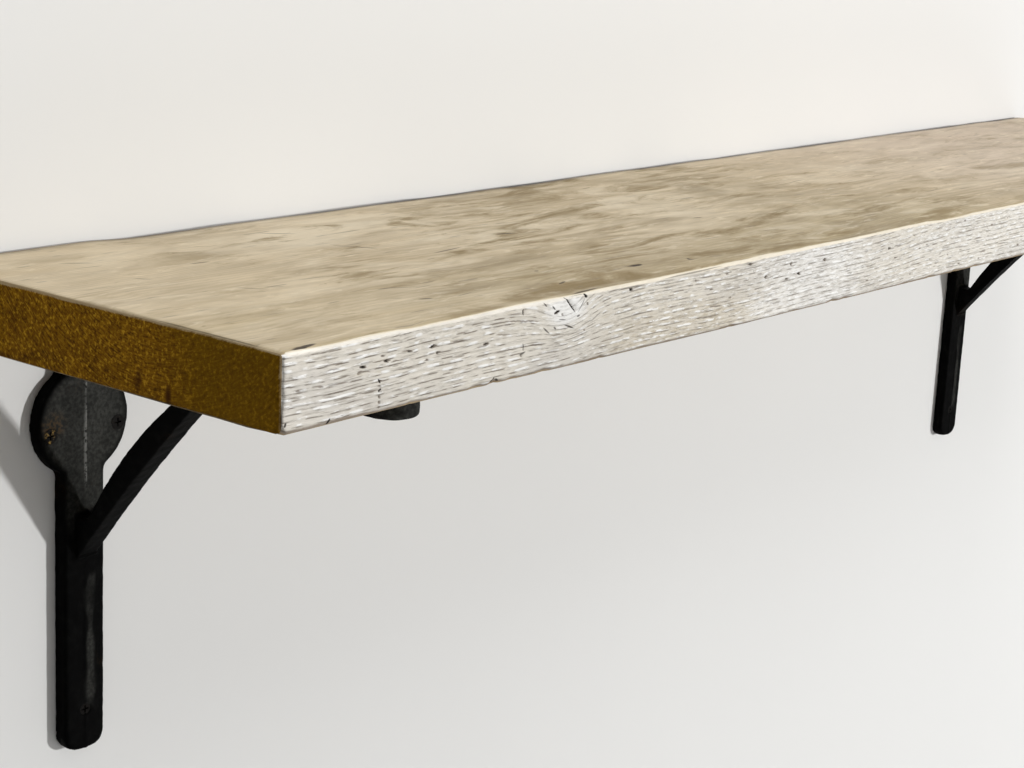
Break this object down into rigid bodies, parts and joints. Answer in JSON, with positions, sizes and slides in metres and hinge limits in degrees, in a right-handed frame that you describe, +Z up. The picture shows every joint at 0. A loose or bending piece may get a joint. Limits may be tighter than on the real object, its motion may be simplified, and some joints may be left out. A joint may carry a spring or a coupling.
{
  "type": "bracket-mounted wall shelf",
  "caption": "Wall shelf: a thick reclaimed timber board with a rough-sawn, limewashed front edge, on black cast-iron brackets with round discs and bowed braces, screwed to the wall.",
  "frame": {"origin": "centre of the board's back face, on the wall", "axes": "+X along the board to the right as seen from the room, +Y into the wall, +Z up"},
  "size_m": [1.066, 0.266, 0.257],
  "materials": {
    "board": "reclaimed softwood: waxed tan top, rough-sawn limewashed front edge, dark stained end grain",
    "casting": "sand-cast iron, blacked and waxed, with a rough skin and a parting line",
    "wall_screws": "yellow-passivated steel, dulled",
    "board_screws": "yellow-passivated steel",
    "wall_plugs": "moulded nylon, dull red"
  },
  "bodies": {
    "root": {"shelf_board": "board", "left_bracket": "casting", "left_wall_screw_upper_left": "wall_screws", "left_wall_plug_upper_left": "wall_plugs", "left_wall_screw_upper_right": "wall_screws", "left_wall_plug_upper_right": "wall_plugs", "left_wall_screw_lower": "wall_screws", "left_wall_plug_lower": "wall_plugs", "left_board_screw_back_left": "board_screws", "left_board_screw_back_right": "board_screws", "left_board_screw_front": "board_screws", "right_bracket": "casting", "right_wall_screw_upper_left": "wall_screws", "right_wall_plug_upper_left": "wall_plugs", "right_wall_screw_upper_right": "wall_screws", "right_wall_plug_upper_right": "wall_plugs", "right_wall_screw_lower": "wall_screws", "right_wall_plug_lower": "wall_plugs", "right_board_screw_back_left": "board_screws", "right_board_screw_back_right": "board_screws", "right_board_screw_front": "board_screws"}
  },
  "joints": []
}
